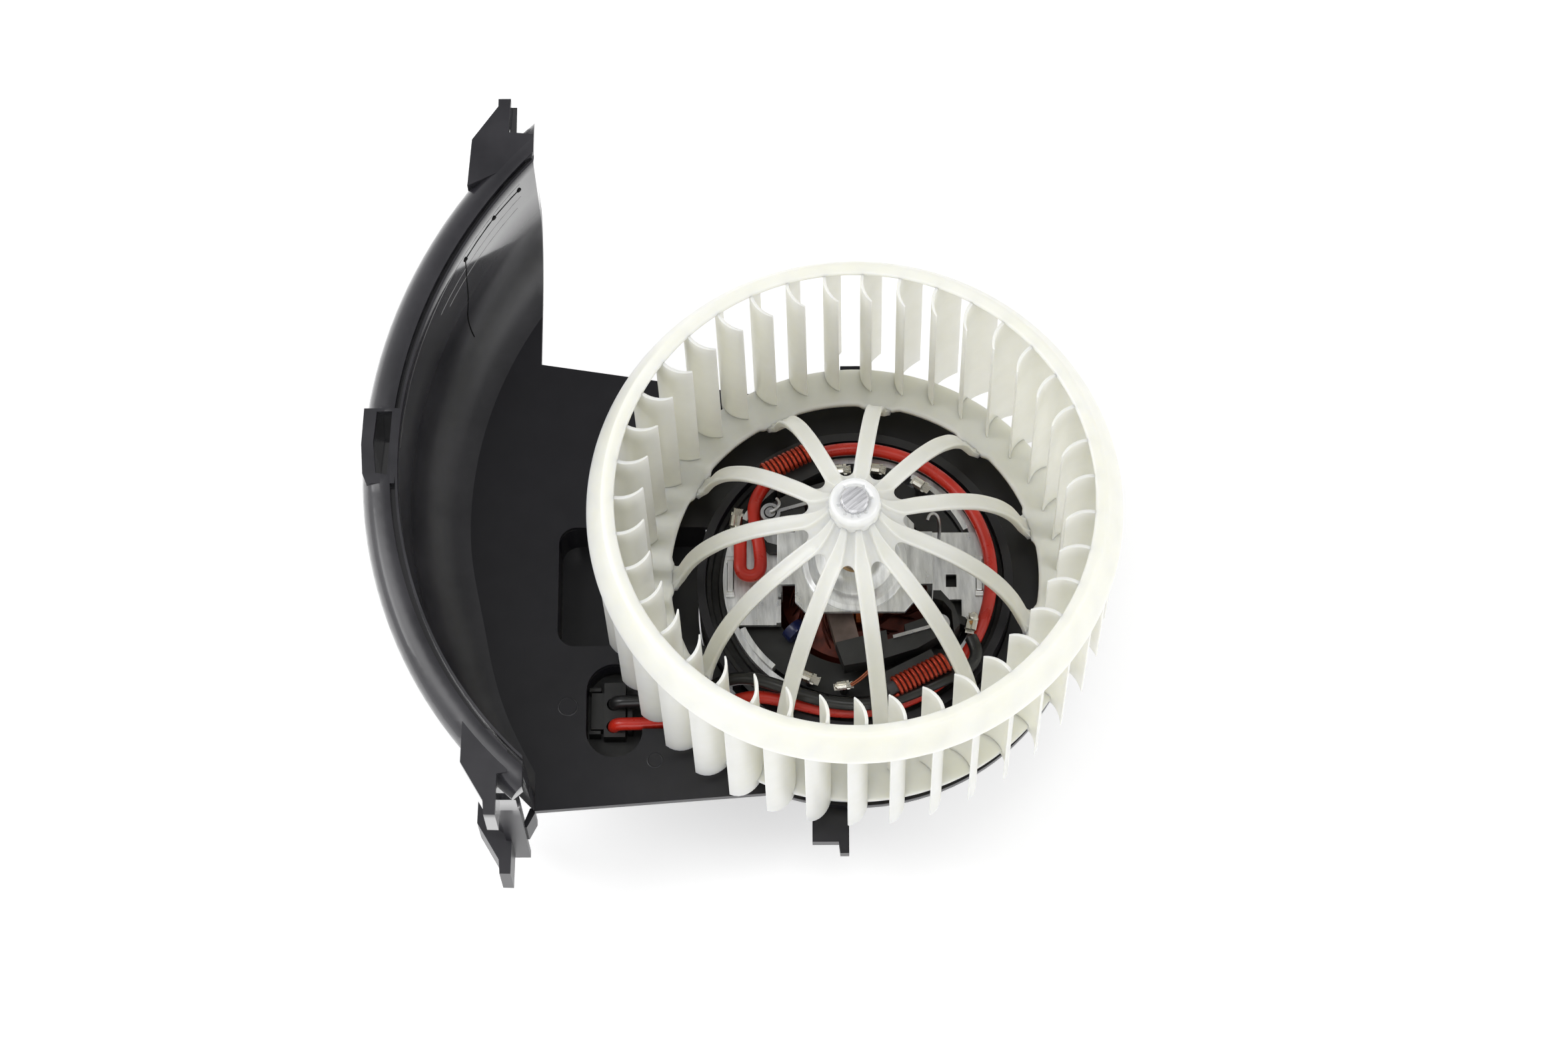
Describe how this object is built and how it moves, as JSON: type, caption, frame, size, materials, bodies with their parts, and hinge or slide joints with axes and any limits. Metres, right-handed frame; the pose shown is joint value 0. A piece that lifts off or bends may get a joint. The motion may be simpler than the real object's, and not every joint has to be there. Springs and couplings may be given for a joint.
{
  "type": "heater blower wheel with motor",
  "caption": "Forward-curved blower wheel on a brush motor, held in the motor half of a scroll housing, with two leads to a socket.",
  "frame": {"origin": "centre of the flat rear face of the motor cup, on the wheel's axis", "axes": "+Z along the wheel's axis from the motor to the wheel's open front; +Y along the housing's long side, towards the upper tab; -X towards the scroll wall"},
  "size_m": [0.2156, 0.2193, 0.125],
  "materials": {
    "housing_plastic": "satin",
    "card_plastic": "matte",
    "zinc_steel": "galvanised",
    "rubber": "matte",
    "ferrite": "matte",
    "spring_steel": "satin",
    "bronze": "satin",
    "carbon": "matte",
    "enamelled_copper": "gloss",
    "tinned_brass": "satin",
    "blue_lacquer": "gloss",
    "red_insulation": "satin",
    "black_insulation": "satin",
    "shaft_steel": "ground",
    "lamination_steel": "matte",
    "commutator_copper": "satin",
    "nylon": "matte",
    "wheel_plastic": "translucent satin"
  },
  "bodies": {
    "stator": {"scroll_housing": "housing_plastic", "scroll_wall": "housing_plastic", "channel_shell": "housing_plastic", "lead_trough": "housing_plastic", "socket_shroud": "housing_plastic", "motor_cup": "housing_plastic", "flange_screws": "zinc_steel", "decoupling_ring": "rubber", "rear_pads": "rubber", "motor_can": "zinc_steel", "rim_tabs": "zinc_steel", "magnet_left": "ferrite", "magnet_right": "ferrite", "magnet_springs": "spring_steel", "rear_bearing": "bronze", "end_bracket": "zinc_steel", "front_bearing": "bronze", "bearing_clamp": "spring_steel", "brush_card": "card_plastic", "pivot_pins": "spring_steel", "choke_coil_1": "enamelled_copper", "choke_coil_2": "enamelled_copper", "choke_core_1": "ferrite", "choke_core_2": "ferrite", "crimp_terminals": "tinned_brass", "capacitor": "blue_lacquer", "red_lead": "red_insulation", "black_lead": "black_insulation", "connector_insert": "card_plastic", "contact_blades": "tinned_brass"},
    "rotor": {"motor_shaft": "shaft_steel", "armature_core": "lamination_steel", "armature_windings": "enamelled_copper", "commutator": "commutator_copper", "thrust_washers": "nylon", "wheel_rim": "wheel_plastic", "wheel_back_ring": "wheel_plastic", "wheel_spider": "wheel_plastic", "wheel_blades": "wheel_plastic"},
    "brush_arm_1": {"brush_arm_1": "card_plastic", "carbon_brush_1": "carbon", "arm_spring_1": "spring_steel"},
    "brush_arm_2": {"brush_arm_2": "card_plastic", "carbon_brush_2": "carbon", "arm_spring_2": "spring_steel"}
  },
  "joints": [
    {"name": "wheel_spin", "type": "hinge", "parent": "stator", "child": "rotor", "pos_m": [0, 0, 0.07], "axis": [0, 0, 1], "continuous": true},
    {"name": "brush_arm_1_lift", "type": "hinge", "parent": "stator", "child": "brush_arm_1", "pos_m": [0.0244, -0.0172, 0.061], "axis": [0, 0, 1], "range_deg": [0, 5], "stiffness_Nm_per_rad": 0.05, "springref_deg": -20.05},
    {"name": "brush_arm_2_lift", "type": "hinge", "parent": "stator", "child": "brush_arm_2", "pos_m": [-0.0244, 0.0172, 0.061], "axis": [0, 0, 1], "range_deg": [0, 5], "stiffness_Nm_per_rad": 0.05, "springref_deg": -20.05}
  ]
}
